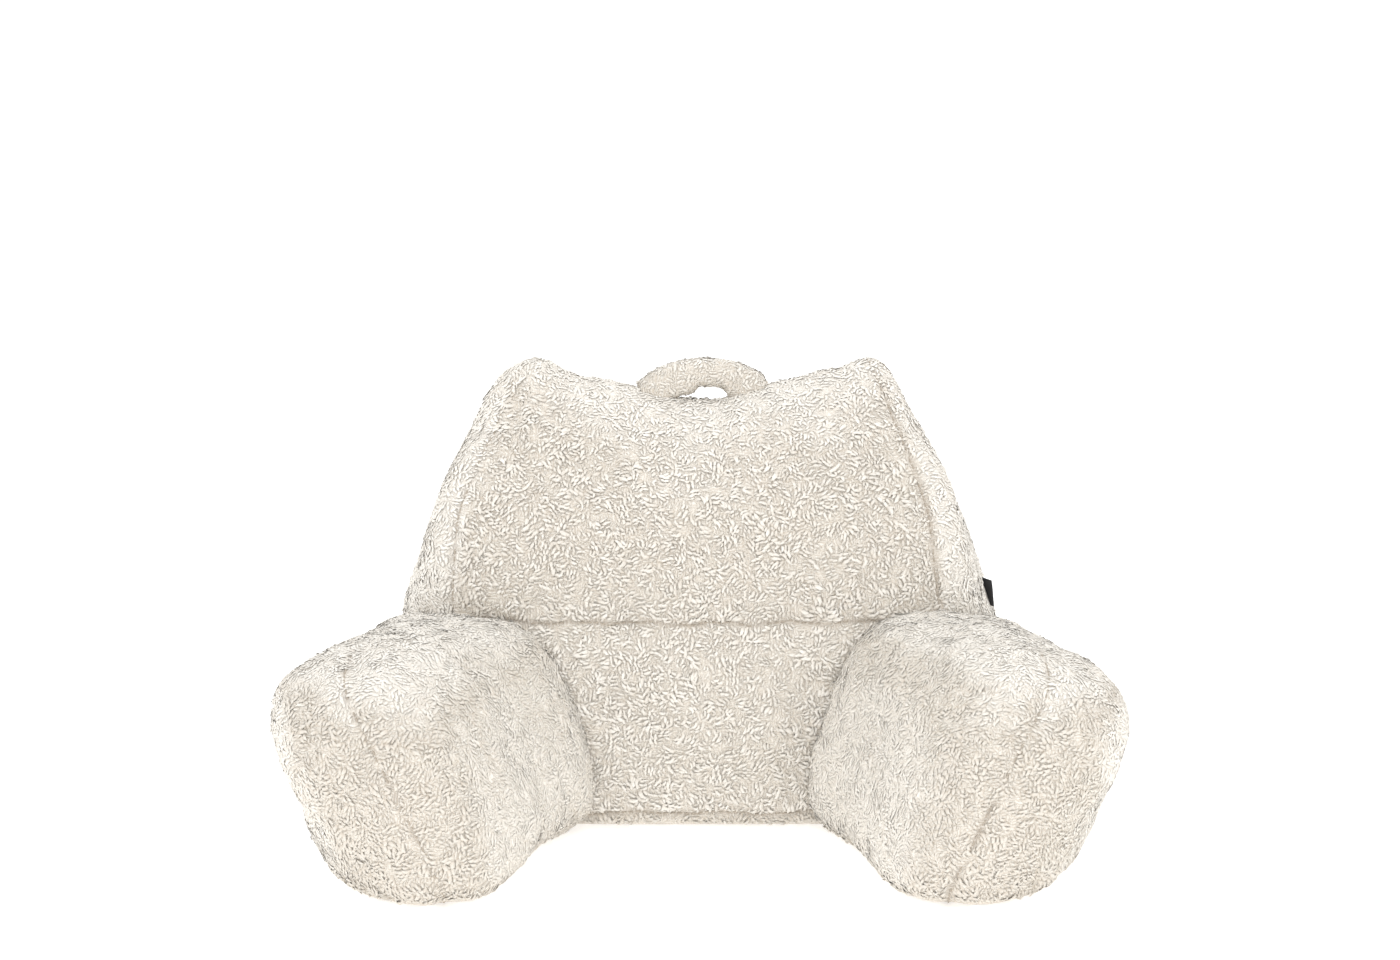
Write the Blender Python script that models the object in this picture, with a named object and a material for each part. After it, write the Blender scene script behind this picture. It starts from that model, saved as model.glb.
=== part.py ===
"""A reading pillow with arms: a filled wedge back, two filled arms, a carrying loop and a side tab.

Metres, +Z up. X runs across the pillow, and the sitter leans back on it from the -Y side.
The origin is the middle of the footprint, on the surface that the pillow stands on.
Every filled solid reaches to the tips of its pile, and seams are drawn in below that.
"""

import math
from collections import namedtuple

import bmesh
import bpy

# ---------------------------------------------------------------- driving sizes
CROSS_SEAM_HEIGHT = 0.208  # parts the upper front panel from the lumbar panel
BASE_SEAM_HEIGHT = 0.017
CROSS_SEAM_DEPTH = 0.009
BASE_SEAM_DEPTH = 0.005
CORNER_SEAM_DEPTH = 0.004
SEAM_HALF_WIDTH = 0.010
PANEL_CROWN = 0.014  # the front panel's middle stands this far before its side seams
LUMP = 0.0013

RIDGE_HEIGHT = 0.434  # the top seam beside the carrying loop
EAR_MIDDLE = 0.008
EAR_REACH = 0.171  # the two top corners, from their middle
EAR_RISE = 0.0165
EAR_SPREAD = 0.022
SHOULDER_REACH = 0.160  # the broad swell that each ear stands on
SHOULDER_RISE = 0.012
SHOULDER_SPREAD = 0.060
SCOOP_DEPTH = 0.017  # the dip under the carrying loop
SCOOP_SPREAD = 0.052

BACK_SLIP = -0.0055  # the filled back sags this far to one side of the arms
TOP_SLIP = -0.003  # and its top seam a little more

FRONT_STEPS = 26  # points round the back, across its front and across its rear
GUSSET_STEPS = 9
REAR_SEAM_STEP = 6  # where the seam of the gusset and the rear panel lies, from the front seam
FRONT_POWER = 7.0  # a tight outline at the front seams
REAR_POWER = 4.0
BACK_BANDS = 24

ARM_TIP = -0.250
ARM_NOSE = -0.105  # where the arm starts to round off to its tip
NOSE_WIDTH_POWER = 2.2
NOSE_TOP_POWER = 2.2
NOSE_FOOT_POWER = 3.8
NOSE_SEAM_DEPTH = 0.006
NOSE_SEAM_HALF_WIDTH = 0.006
ARM_BANDS = 11
NOSE_BANDS = 11
ARM_STEPS = 12
TIP_SLIP = -0.0035  # both arms' tips sag this far to one side
LEFT_TOP_TILT = -0.045  # how much more each arm's top and foot slope than the arms' table says
LEFT_FOOT_TILT = 0.040
RIGHT_TOP_TILT = 0.045
RIGHT_FOOT_TILT = -0.030
ARM_PRESSED = 0.012  # how deep the filling's roundness is pressed flat on the surface below

LOOP_MIDDLE = 0.002
LOOP_DEPTH = 0.180
LOOP_HALF_SPAN = 0.062
LOOP_FOOT_HEIGHT = 0.402
LOOP_APEX_HEIGHT = 0.4420
LOOP_WIDTH = 0.038
LOOP_THICKNESS = 0.032
LOOP_BANDS = 18
LOOP_SIDES = 14

TAB_HEIGHT = 0.030
TAB_REACH = 0.0145
TAB_THICKNESS = 0.0014
TAB_ROOT = (0.2955, 0.172, 0.2110)
TAB_TURN = math.radians(-66)
TAB_TILT = math.radians(10)

FIT_GAP = 0.0004  # between solids that are sewn together

CREAM = (0.79, 0.74, 0.66, 1.0)
BLACK = (0.015, 0.015, 0.018, 1.0)

# ---------------------------------------------------------------- sections
# Level sections of the back, from its base to its top seam: the depths of its front and
# rear faces, and its half widths there.
BackRow = namedtuple("BackRow", "height front rear front_half rear_half")
BACK_ROWS = (
    BackRow(0.000, 0.030, 0.243, 0.252, 0.300),
    BackRow(0.008, 0.022, 0.254, 0.262, 0.318),
    BackRow(0.040, 0.017, 0.268, 0.272, 0.338),
    BackRow(0.100, 0.016, 0.276, 0.274, 0.346),
    BackRow(0.180, 0.024, 0.273, 0.271, 0.338),
    BackRow(0.208, 0.032, 0.270, 0.270, 0.326),
    BackRow(0.250, 0.034, 0.266, 0.267, 0.306),
    BackRow(0.300, 0.050, 0.259, 0.263, 0.281),
    BackRow(0.340, 0.073, 0.250, 0.254, 0.258),
    BackRow(0.380, 0.101, 0.238, 0.233, 0.237),
    BackRow(0.410, 0.130, 0.221, 0.218, 0.220),
    BackRow(0.426, 0.154, 0.203, 0.206, 0.207),
    BackRow(0.432, 0.169, 0.190, 0.200, 0.200),
    BackRow(0.434, 0.180, 0.180, 0.196, 0.196),
)

# Upright sections of an arm, from its root inside the back to its tip. The reach is from
# the middle plane to the section's middle. The lean is its sideways step per height, and
# the tilt is how its top slopes down outward, which lifts its inner edge off the surface.
ArmRow = namedtuple("ArmRow", "depth reach half_width height lean tilt power")
ARM_ROWS = (
    ArmRow(0.170, 0.204, 0.102, 0.204, 0.22, 0.03, 3.6),
    ArmRow(0.100, 0.217, 0.111, 0.214, 0.25, 0.06, 3.6),
    ArmRow(0.050, 0.226, 0.116, 0.217, 0.28, 0.09, 3.5),
    ArmRow(0.000, 0.238, 0.118, 0.217, 0.31, 0.13, 3.4),
    ArmRow(-0.060, 0.258, 0.112, 0.218, 0.35, 0.17, 3.4),
    ArmRow(-0.120, 0.275, 0.105, 0.218, 0.39, 0.19, 3.3),
    ArmRow(-0.180, 0.278, 0.099, 0.217, 0.43, 0.20, 3.2),
    ArmRow(-0.250, 0.261, 0.090, 0.212, 0.47, 0.22, 2.9),
)


# ---------------------------------------------------------------- curves
def steady_slope(before, here, after, column):
    """The slope of one column at a row, level at each crest so that nothing overshoots."""
    left = (here[column] - before[column]) / (here[0] - before[0]) if before is not here else None
    right = (after[column] - here[column]) / (after[0] - here[0]) if after is not here else None
    if left is None:
        return right
    if right is None:
        return left
    if left * right <= 0:
        return 0.0
    return 2 * left * right / (left + right)


def row_at(rows, place):
    """A table's row at any place in its first column, read along a smooth curve."""
    rows = sorted(rows)
    place = min(max(place, rows[0][0]), rows[-1][0])
    upper = max(1, next(i for i, row in enumerate(rows) if row[0] >= place))
    low, high = rows[upper - 1], rows[upper]
    before = rows[max(upper - 2, 0)]
    after = rows[min(upper + 1, len(rows) - 1)]
    step = high[0] - low[0]
    s = (place - low[0]) / step
    values = [place]
    for column in range(1, len(low)):
        slope_low = steady_slope(before, low, high, column) * step
        slope_high = steady_slope(low, high, after, column) * step
        rise = high[column] - low[column]
        values.append(
            low[column]
            + rise * s * s * (3 - 2 * s)
            + slope_low * s * (1 - s) ** 2
            + slope_high * s * s * (s - 1)
        )
    return type(low)(*values)


def ease(low, high, value):
    share = min(max((value - low) / (high - low), 0.0), 1.0)
    return share * share * (3 - 2 * share)


def hill(distance, spread):
    return math.exp(-((distance / spread) ** 2))


def lump(x, y, z):
    """The filling's soft unevenness at a place, either way."""
    broad = math.sin(31 * x + 17 * z + 1.1) + math.sin(43 * z - 23 * y + 0.4)
    fine = math.sin(57 * y + 39 * x + 2.3)
    return LUMP * (broad + 0.8 * fine)


def outline(powers, steps, crowding=0.0):
    """A closed round-cornered outline, from -1 to 1 each way.

    It starts at its low left corner and goes round by its low side. The powers are those of
    its low and high halves. Each side has even steps, drawn closer to the side's middle by
    the crowding.
    """
    points = []
    for side, count in enumerate(steps):
        fine = []
        for i in range(121):
            angle = math.radians(-135 + 90 * side + 90 * i / 120)
            c, s = math.cos(angle), math.sin(angle)
            power = powers[0] if s < 0 else powers[1]
            radius = (abs(c) ** power + abs(s) ** power) ** (-1 / power)
            fine.append((radius * c, radius * s))
        reach = [0.0]
        for a, b in zip(fine, fine[1:]):
            reach.append(reach[-1] + math.dist(a, b))
        for i in range(count):
            share = i / count
            share += crowding * math.sin(2 * math.pi * share) / (2 * math.pi)
            wanted = reach[-1] * share
            place = next(k for k in range(1, 121) if reach[k] >= wanted)
            part = (wanted - reach[place - 1]) / (reach[place] - reach[place - 1])
            a, b = fine[place - 1], fine[place]
            points.append((a[0] + (b[0] - a[0]) * part, a[1] + (b[1] - a[1]) * part))
    return points


# ---------------------------------------------------------------- solids
def clear_scene():
    for obj in list(bpy.data.objects):
        bpy.data.objects.remove(obj)


def material(name, colour, roughness):
    result = bpy.data.materials.new(name)
    result.use_nodes = True
    shader = result.node_tree.nodes["Principled BSDF"]
    shader.inputs["Base Color"].default_value = colour
    shader.inputs["Roughness"].default_value = roughness
    shader.inputs["Metallic"].default_value = 0.0
    return result


def close_end(mesh, ring):
    """Close an open end with a fan of faces round a point in its middle."""
    middle = sum((vert.co for vert in ring), start=ring[0].co * 0) / len(ring)
    hub = mesh.verts.new(middle)
    for i, vert in enumerate(ring):
        mesh.faces.new((vert, ring[(i + 1) % len(ring)], hub))


def solid(name, rings, finish, ends=(True, True)):
    """One closed solid through rings of points, with an end that is sewn shut left to merge."""
    mesh = bmesh.new()
    loops = [[mesh.verts.new(point) for point in ring] for ring in rings]
    for low, high in zip(loops, loops[1:]):
        for i in range(len(low)):
            j = (i + 1) % len(low)
            mesh.faces.new((low[i], low[j], high[j], high[i]))
    for end, closed in zip((loops[0], loops[-1]), ends):
        if closed:
            close_end(mesh, end)
    bmesh.ops.remove_doubles(mesh, verts=mesh.verts[:], dist=0.00002)
    bmesh.ops.triangulate(mesh, faces=mesh.faces[:])
    bmesh.ops.recalc_face_normals(mesh, faces=mesh.faces[:])
    data = bpy.data.meshes.new(name)
    mesh.to_mesh(data)
    mesh.free()
    data.shade_smooth()
    data.materials.append(finish)
    obj = bpy.data.objects.new(name, data)
    bpy.context.scene.collection.objects.link(obj)
    return obj


def grown_copy(obj, margin):
    """A hidden cutter: the same solid, every face of it moved outward by the margin."""
    mesh = bmesh.new()
    mesh.from_mesh(obj.data)
    mesh.normal_update()
    moves = [vert.normal * margin * vert.calc_shell_factor() for vert in mesh.verts]
    for vert, move in zip(mesh.verts, moves):
        vert.co += move
    data = bpy.data.meshes.new(obj.name + "_cutter")
    mesh.to_mesh(data)
    mesh.free()
    cutter = bpy.data.objects.new(obj.name + "_cutter", data)
    cutter.display_type = "WIRE"
    cutter.hide_render = True
    bpy.context.scene.collection.objects.link(cutter)
    return cutter


def trim(obj, cutter):
    cut = obj.modifiers.new("sewn to the back", "BOOLEAN")
    cut.operation = "DIFFERENCE"
    cut.solver = "EXACT"
    cut.object = cutter


# ---------------------------------------------------------------- the back
def top_line(x):
    """How far the top seam stands above or below its plain height: two ears and a scoop."""
    ear = EAR_RISE * hill(abs(x - EAR_MIDDLE) - EAR_REACH, EAR_SPREAD)
    shoulder = SHOULDER_RISE * hill(abs(x) - SHOULDER_REACH, SHOULDER_SPREAD)
    return ear + shoulder - SCOOP_DEPTH * hill(x - LOOP_MIDDLE, SCOOP_SPREAD)


def back_heights():
    """Levels of the back's sections, drawn together at its seams and at its top."""
    seam_steps = (-1.9, -1.1, -0.5, 0.0, 0.5, 1.1, 1.9)
    levels = {CROSS_SEAM_HEIGHT + SEAM_HALF_WIDTH * step for step in seam_steps}
    levels |= {BASE_SEAM_HEIGHT + SEAM_HALF_WIDTH * step for step in (-0.8, -0.4, 0.0, 0.5, 1.1)}
    levels |= {0.0, 0.004}
    crowded = max(abs(step) for step in seam_steps) * SEAM_HALF_WIDTH
    for band in range(1, BACK_BANDS + 1):
        height = RIDGE_HEIGHT * math.sin(math.pi / 2 * band / BACK_BANDS) ** 0.9
        clear = min(abs(height - CROSS_SEAM_HEIGHT) - crowded, height - BASE_SEAM_HEIGHT - 0.012)
        if clear > 0.004:
            levels.add(height)
    return sorted(levels)


def back_ring(height, unit):
    row = row_at(BACK_ROWS, height)
    lift = ease(0.30, 0.43, height)
    slip = BACK_SLIP * ease(0.0, 0.25, height) + TOP_SLIP * ease(0.36, 0.43, height)
    cross_seam = CROSS_SEAM_DEPTH * hill(height - CROSS_SEAM_HEIGHT, SEAM_HALF_WIDTH)
    base_seam = BASE_SEAM_DEPTH * hill(height - BASE_SEAM_HEIGHT, SEAM_HALF_WIDTH * 0.6)
    soft = ease(0.0, 0.03, height) * ease(RIDGE_HEIGHT, RIDGE_HEIGHT - 0.02, height)
    right_seams = (FRONT_STEPS, FRONT_STEPS + REAR_SEAM_STEP)
    left_seams = (0, len(unit) - REAR_SEAM_STEP)
    middle = (row.front + row.rear) / 2
    ring = []
    for index, (u, v) in enumerate(unit):
        share = (1 + v) / 2
        half = row.front_half + (row.rear_half - row.front_half) * share
        facing = max(0.0, -v) ** 3
        x = u * half
        y = row.front + (row.rear - row.front) * share
        y += PANEL_CROWN * u * u * facing * soft
        inward = base_seam + soft * lump(x, y, height)
        if index in right_seams + left_seams:
            inward += CORNER_SEAM_DEPTH * soft
        x -= inward * u * abs(u)
        y -= inward * v * abs(v)
        y += cross_seam * facing
        y = min(y, middle) if v < 0 else max(y, middle)
        ring.append((x + slip, y, height + lift * top_line(x)))
    return ring


def make_back(finish):
    unit = outline((FRONT_POWER, REAR_POWER), (FRONT_STEPS, GUSSET_STEPS) * 2)
    unit_top = outline((REAR_POWER, REAR_POWER), (FRONT_STEPS, GUSSET_STEPS) * 2)
    rings = []
    for height in back_heights():
        even = ease(0.36, 0.43, height)
        mixed = [
            (a[0] + (b[0] - a[0]) * even, a[1] + (b[1] - a[1]) * even)
            for a, b in zip(unit, unit_top)
        ]
        rings.append(back_ring(height, mixed))
    return solid("back", rings, finish, ends=(True, False))


# ---------------------------------------------------------------- the arms
def arm_depths():
    """Places of an arm's sections, from its root forward, with even steps round the nose."""
    root = ARM_ROWS[0].depth
    plain = [root + (ARM_NOSE - root) * i / ARM_BANDS for i in range(ARM_BANDS)]
    quarter = math.pi / 2
    nose = [
        ARM_NOSE + (ARM_TIP - ARM_NOSE) * math.sin(quarter * 0.97 * i / NOSE_BANDS)
        for i in range(NOSE_BANDS + 1)
    ]
    return plain + nose


def arm_ring(depth, side):
    row = row_at(ARM_ROWS, depth)
    t = max(0.0, (depth - ARM_NOSE) / (ARM_TIP - ARM_NOSE))
    narrow = (1 - t**NOSE_WIDTH_POWER) ** (1 / NOSE_WIDTH_POWER)
    low_top = (1 - t**NOSE_TOP_POWER) ** (1 / NOSE_TOP_POWER)
    low_foot = (1 - t**NOSE_FOOT_POWER) ** (1 / NOSE_FOOT_POWER)
    middle = (row.height - ARM_PRESSED) / 2
    half_height = (row.height + ARM_PRESSED) / 2
    seam = NOSE_SEAM_DEPTH * ease(0.1, 0.6, t)
    slip = TIP_SLIP * ease(0.05, -0.15, depth)
    top_tilt = LEFT_TOP_TILT if side < 0 else RIGHT_TOP_TILT
    foot_tilt = LEFT_FOOT_TILT if side < 0 else RIGHT_FOOT_TILT
    ring = []
    for u, v in outline((row.power, row.power), (ARM_STEPS,) * 4, crowding=0.55):
        across = u * row.half_width * narrow
        low = low_top if v > 0 else low_foot
        z = middle + v * half_height * low
        drawn = seam * hill(across, NOSE_SEAM_HALF_WIDTH)
        swell = lump(side * across, depth, z) * low
        z -= (drawn + swell) * v * abs(v)
        across -= swell * u * abs(u)
        x = row.reach + across + row.lean * (z - middle)
        tilt = row.tilt + abs(v) * (top_tilt if v > 0 else foot_tilt)
        z -= tilt * across
        ring.append((side * x + slip, depth + drawn * t * t, max(0.0, z)))
    return ring


def make_arm(name, side, finish):
    rings = [arm_ring(depth, side) for depth in arm_depths()]
    return solid(name, rings, finish)


# ---------------------------------------------------------------- loop and tab
def make_loop(finish):
    """A padded strap over the top seam, with both feet in the back."""
    rings = []
    for band in range(LOOP_BANDS + 1):
        angle = math.pi * band / LOOP_BANDS
        across = -math.cos(angle)
        rise = math.sin(angle) ** 0.8
        x = LOOP_MIDDLE + LOOP_HALF_SPAN * across
        z = LOOP_FOOT_HEIGHT + (LOOP_APEX_HEIGHT - LOOP_FOOT_HEIGHT) * rise
        slope = math.radians(62) * across * abs(across)
        ring = []
        for side in range(LOOP_SIDES):
            turn = 2 * math.pi * side / LOOP_SIDES
            out = LOOP_THICKNESS / 2 * math.sin(turn)
            along = LOOP_WIDTH / 2 * math.copysign(abs(math.cos(turn)) ** 0.8, math.cos(turn))
            ring.append((x + out * math.sin(slope), LOOP_DEPTH + along, z + out * math.cos(slope)))
        rings.append(ring)
    return solid("carry_loop", rings, finish)


def make_tab(finish):
    """A bare folded tab, caught in the seam between the side gusset and the rear panel."""
    rings = []
    for reach in (-0.004, TAB_REACH):
        ring = []
        for side, rise in ((-1, -1), (1, -1), (1, 1), (-1, 1)):
            across = side * TAB_THICKNESS / 2
            up = rise * TAB_HEIGHT / 2
            x = reach * math.cos(TAB_TURN) - across * math.sin(TAB_TURN) - up * math.sin(TAB_TILT)
            y = reach * math.sin(TAB_TURN) + across * math.cos(TAB_TURN)
            ring.append((TAB_ROOT[0] + x, TAB_ROOT[1] + y, TAB_ROOT[2] + up * math.cos(TAB_TILT)))
        rings.append(ring)
    return solid("side_tab", rings, finish)


def stand_on_origin(objects, widest):
    """Move the whole pillow so that the middle of its widest solids' footprint is the origin."""
    points = [vert.co.copy() for obj in widest for vert in obj.data.vertices]
    shift_x = -(min(p.x for p in points) + max(p.x for p in points)) / 2
    shift_y = -(min(p.y for p in points) + max(p.y for p in points)) / 2
    for obj in objects:
        for vert in obj.data.vertices:
            vert.co.x += shift_x
            vert.co.y += shift_y


def main():
    clear_scene()
    pile = material("cream_pile", CREAM, 0.95)
    label = material("black_tab", BLACK, 0.8)
    back = make_back(pile)
    arms = [make_arm("arm_left", -1, pile), make_arm("arm_right", 1, pile)]
    loop = make_loop(pile)
    tab = make_tab(label)
    cutter = grown_copy(back, FIT_GAP)
    for obj in arms + [loop, tab]:
        trim(obj, cutter)
    stand_on_origin([back, cutter, loop, tab] + arms, [back] + arms)


main()
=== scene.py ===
"""A reading pillow with arms, covered in curly cream pile, with its handle and side label."""

import math

import bmesh
import bpy
import numpy as np
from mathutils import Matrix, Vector
from mathutils.bvhtree import BVHTree
from mathutils.kdtree import KDTree


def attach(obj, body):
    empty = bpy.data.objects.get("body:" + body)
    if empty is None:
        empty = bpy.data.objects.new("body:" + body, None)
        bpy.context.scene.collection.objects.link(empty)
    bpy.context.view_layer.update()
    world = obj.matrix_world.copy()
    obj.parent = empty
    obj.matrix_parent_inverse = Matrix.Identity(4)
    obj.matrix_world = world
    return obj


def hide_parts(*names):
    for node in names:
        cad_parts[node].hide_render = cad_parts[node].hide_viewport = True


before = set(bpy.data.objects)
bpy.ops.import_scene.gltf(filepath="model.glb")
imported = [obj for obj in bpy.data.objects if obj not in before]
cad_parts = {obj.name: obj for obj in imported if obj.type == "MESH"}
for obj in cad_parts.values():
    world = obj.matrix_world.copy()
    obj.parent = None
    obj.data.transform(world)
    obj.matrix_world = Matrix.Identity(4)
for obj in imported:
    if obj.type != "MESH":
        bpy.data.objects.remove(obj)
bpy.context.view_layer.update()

MM = 0.001

# How the stuffed skins are made under the pile.
PILE_DEPTH = 1.7 * MM
LOOP_PILE_DEPTH = 2.4 * MM
SKIN_MESH = 11.0 * MM
ARM_MESH = 10.0 * MM
LOOP_MESH = 5.0 * MM
SWELL_FRAMES = 20
SWELL_PRESSURE = 4.0
SWELL_CAP = 3.0 * MM
SEAM_GRIP = 9 * MM
SEAM_RELEASE = 26 * MM
VALLEY_FILL = 3.5 * MM
HIP_BULGE = 3.2 * MM
HIP_HEIGHT = 0.238
HIP_SPREAD = 0.045
FLOOR_CLEARANCE = 0.3 * MM
TOUCHING = 2.0 * MM
FOOT_HEIGHT = 4.0 * MM

# The lumps of the filling: how high they are, how far apart, and the seed of each.
LUMPS = ((0.9 * MM, 60 * MM, 11), (0.2 * MM, 22 * MM, 12))

# How deep the seams are drawn in, how wide, and how wide their shade is.
REAR_SINK = 1.0 * MM
REAR_SINK_FROM = 0.12
BACK_SINK = 2.2 * MM
ARM_SINK = 3.0 * MM
SINK_WIDTH = 4.5 * MM
SHADE_WIDTH = 4.0 * MM
SHADE_DEPTH = 0.6
VALLEY_WIDTH = 13 * MM
NO_SEAM = 1.0  # the distance, in metres, of a point that has no seam

# The gap under the loop: its middle, half its width, and how far the loop's underside comes
# down over it and beside it.
GRIP_MIDDLE = 0.011
GRIP_HALF_WIDTH = 0.0145
GRIP_DROP = 1.8 * MM
FOOT_DROP = 7.2 * MM

# The seams across the front panel: how far the panel reaches, the seams' heights, and the
# waves that they make.
FRONT_DEPTH = 0.075
FRONT_HALF_WIDTH = 0.243
CROSS_HEIGHT = 0.208
CROSS_WAVES = ((0.0016, 0.9), (0.0010, 2.3))
BASE_HEIGHT = 0.018
BASE_WAVES = ((0.0015, 0.7), (0.0008, 1.9))

# The seams of the gussets and of the arms' noses, point by point.
FRONT_SEAM_DEPTHS = [
    (0.000, 0.025), (0.013, 0.025), (0.028, 0.028), (0.100, 0.024), (0.183, 0.034),
    (0.203, 0.0455), (0.219, 0.0436), (0.256, 0.0425), (0.318, 0.065), (0.371, 0.096),
    (0.420, 0.126), (0.452, 0.146), (0.461, 0.165),
]  # height, depth
FRONT_SEAM_RIGHT = [
    0.230, 0.2375, 0.242, 0.2475, 0.241, 0.239, 0.238, 0.236, 0.2286, 0.2094, 0.190, 0.178, 0.171,
]
FRONT_SEAM_LEFT = [
    -0.230, -0.2376, -0.2423, -0.248, -0.2457, -0.2453, -0.245, -0.2442, -0.2377, -0.2163, -0.198,
    -0.188, -0.181,
]
REAR_SEAM = [
    (0.282, 0.151, 0.000), (0.297, 0.156, 0.013), (0.3085, 0.160, 0.028), (0.3135, 0.166, 0.100),
    (0.306, 0.167, 0.183), (0.300, 0.168, 0.203), (0.2946, 0.168, 0.219), (0.281, 0.166, 0.256),
    (0.2595, 0.169, 0.318), (0.2346, 0.172, 0.369), (0.211, 0.173, 0.410), (0.197, 0.170, 0.438),
    (0.189, 0.165, 0.452),
]
NOSE_SEAM = [
    (0.314, -0.120, 0.219), (0.317, -0.140, 0.217), (0.318, -0.160, 0.2135), (0.318, -0.178, 0.207),
    (0.316, -0.195, 0.199), (0.311, -0.210, 0.189), (0.303, -0.224, 0.177), (0.294, -0.236, 0.165),
    (0.285, -0.245, 0.151), (0.276, -0.252, 0.136), (0.267, -0.257, 0.119), (0.258, -0.259, 0.101),
    (0.248, -0.259, 0.080), (0.236, -0.257, 0.053), (0.230, -0.252, 0.036), (0.226, -0.245, 0.0235),
    (0.225, -0.236, 0.013), (0.226, -0.224, 0.005), (0.227, -0.210, 0.000),
]
LEFT_ARM_SHIFT = -0.007
BACK_SHIFT = -0.002
RIDGE_DEPTH = 0.165  # behind this, the pile is the rear panel's
ARM_PARTED_AT = 0.27  # beyond this, an arm's pile is its outer panel's

# The pile: curled locks of three curves, in tufts.
LOCK_LENGTH = 8.0 * MM
LOCK_RADIUS = 1.85 * MM
LOCK_FLATNESS = 0.52
LOCK_SHARES = (0, 0.33, 0.67, 1)
LOCK_WIDTHS = (0.75, 1.08, 0.85)
ROOT_DIP = 0.9 * MM
TIP_DIP = 0.6 * MM
LOCK_CURVES = ((1.4, 1.4, 1.0), (2.1, 1.2, 0.95), (0.8, 1.6, 1.05))  # turn, arch in mm, width
LOCK_SPACING = 3.25 * MM
REAR_SPACING = 3.7 * MM
LOOP_SPACING = 3.0 * MM
LOOP_LOCK_SIZE = 0.85
TRIES = 5  # points drawn for each lock's place, of which the crowded ones are left out
TUFT_SPACING = 9.5 * MM
TUFT_PULL = 0.15  # how far a tuft's locks lean to its middle
TUFT_RISE = 1.2 * MM
LOCK_RISE = 0.35 * MM
LOCK_TILT = (0.11, 0.08)  # from the surface in radians, and its spread
RAISED_LOCKS = (0.05, 0.35)  # the share that stand higher, and by how much
BROAD_SWIRL = (0.8, 90 * MM)  # radians, and how far apart the swirls are
FINE_SWIRL = (0.45, 36 * MM)
STRAYS = 0.15  # the share of locks that curl unlike their tuft
EVEN_LIGHT = 0.35  # how far the locks are lit as the skin below them is
SKIN_ROOM = 0.8 * MM  # how deep in its neighbour's solid a lock may stand
BARE_FLOOR = 30 * MM  # a face below this that looks down bears no locks
FACES_DOWN = -0.75

# How wide the pile is parted at the seams, and how far it is combed open there.
BACK_PARTING = 1.0 * MM
ARM_PARTING = 2.3 * MM
BACK_OPENING = 0.4 * MM
ARM_OPENING = 2.2 * MM

# The locks' tones, each a strip of the colour chart, from deep cream at 0 to pale cream at 1.
TONES = 32
STRIP_MARGIN = 0.1
STRIP_WIDTH = 0.8
FRONT_TONE = 0.37
TUFT_TINT = 0.03
LOCK_TINT = 0.06
SIDE_TOP_PAINTED_LIGHT = 0.49  # painted light: paler on the sides and the tops
HOLLOW_PAINTED_LIGHT = 0.15  # and painted light low between the arms, where less light comes
TUFT_EDGE_PAINTED_SHADE = 0.45  # painted shade between the tufts, and painted light on their crowns
# Painted shade at the seams.
SEAM_PAINTED_SHADE = 0.25
# Painted shade below the base seam, where the base panel turns under.
BASE_PAINTED_SHADE = 0.45
# Painted shade on the arms' fronts, at their seams and on their inner sides.
ARM_FRONT_PAINTED_SHADE = 0.48
ARM_SEAM_PAINTED_SHADE = 0.4
INNER_ARM_PAINTED_SHADE = 0.35

PLANTED = ("spots", "facing", "lie", "size", "slim", "lift", "tone", "kind")

# The stitches at the bottom of the seams.
STITCHED_TO = 0.24
STITCH_LENGTH = 6.0 * MM
STITCH_STEP = 7.0 * MM
STITCH_RADIUS = 0.9 * MM

# The label: a woven tape folded once, which lies along X and stands along Z until it is set.
TAPE_WIDTH = 0.0275
TAPE_FIRST = 0.006
TAPE_START = -0.008
TAPE_FOLD = 0.0136
TAPE_STEPS = (0.005, 0.0095, TAPE_FOLD)
TAPE_APART = 0.42 * MM
TAPE_THICKNESS = 0.45 * MM
TAPE_ROOT = (0.2968, 0.1537, 0.2134)
TAPE_TURN = math.radians(-66)
TAPE_TILT = math.radians(7)

# The places of the light and the eye.
LIT_PLACE = (0, 0, 0.2)
LAMPS = (
    ("key", (-1.3, -1.6, 2.2), 1.2, 4.6),
    ("fill", (1.8, -1.6, 1.3), 1.6, 4.6),
    ("front", (0, -3.4, 0.5), 2.4, 24.5),
    ("top", (0, -0.5, 2.6), 2.6, 11),
)  # place, width in metres, power in watts
ROOM_LIGHT = 1.11
FLOOR_GLOW = 0.42
EYE_PLACE = (0, -2.5153, 0.7733)
EYE_LENS = 67.5
AIM_HEIGHT = 0.3582
AIM_REACH = 2.5

# Colours, as the light they give back.
PALE_CREAM = (0.87, 0.843, 0.795, 1)
DEEP_CREAM = (0.676, 0.640, 0.582, 1)
# Painted shade: the locks' roots are deeper than their curls.
ROOT_PAINTED_SHADE_PALE = (0.82, 0.787, 0.73, 1)
ROOT_PAINTED_SHADE_DEEP = (0.574, 0.515, 0.440, 1)
# The under-pile, deeper than the locks as painted shade between them.
GROUND_PAINTED_SHADE_PALE = (0.765, 0.725, 0.66, 1)
GROUND_PAINTED_SHADE_DEEP = (0.60, 0.54, 0.465, 1)
# Painted shade between the strands of a lock.
PAINTED_SHADE_BETWEEN_STRANDS = (0.60, 0.535, 0.455, 1)
# Painted light on the under-pile of the sides, the tops and low between the arms.
GROUND_PAINTED_LIGHT = (0.84, 0.805, 0.75, 1)
SEAM_SHADE = (0.36, 0.305, 0.25, 1)
WOOL_SHEEN = (1.0, 0.94, 0.84, 1)
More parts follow.
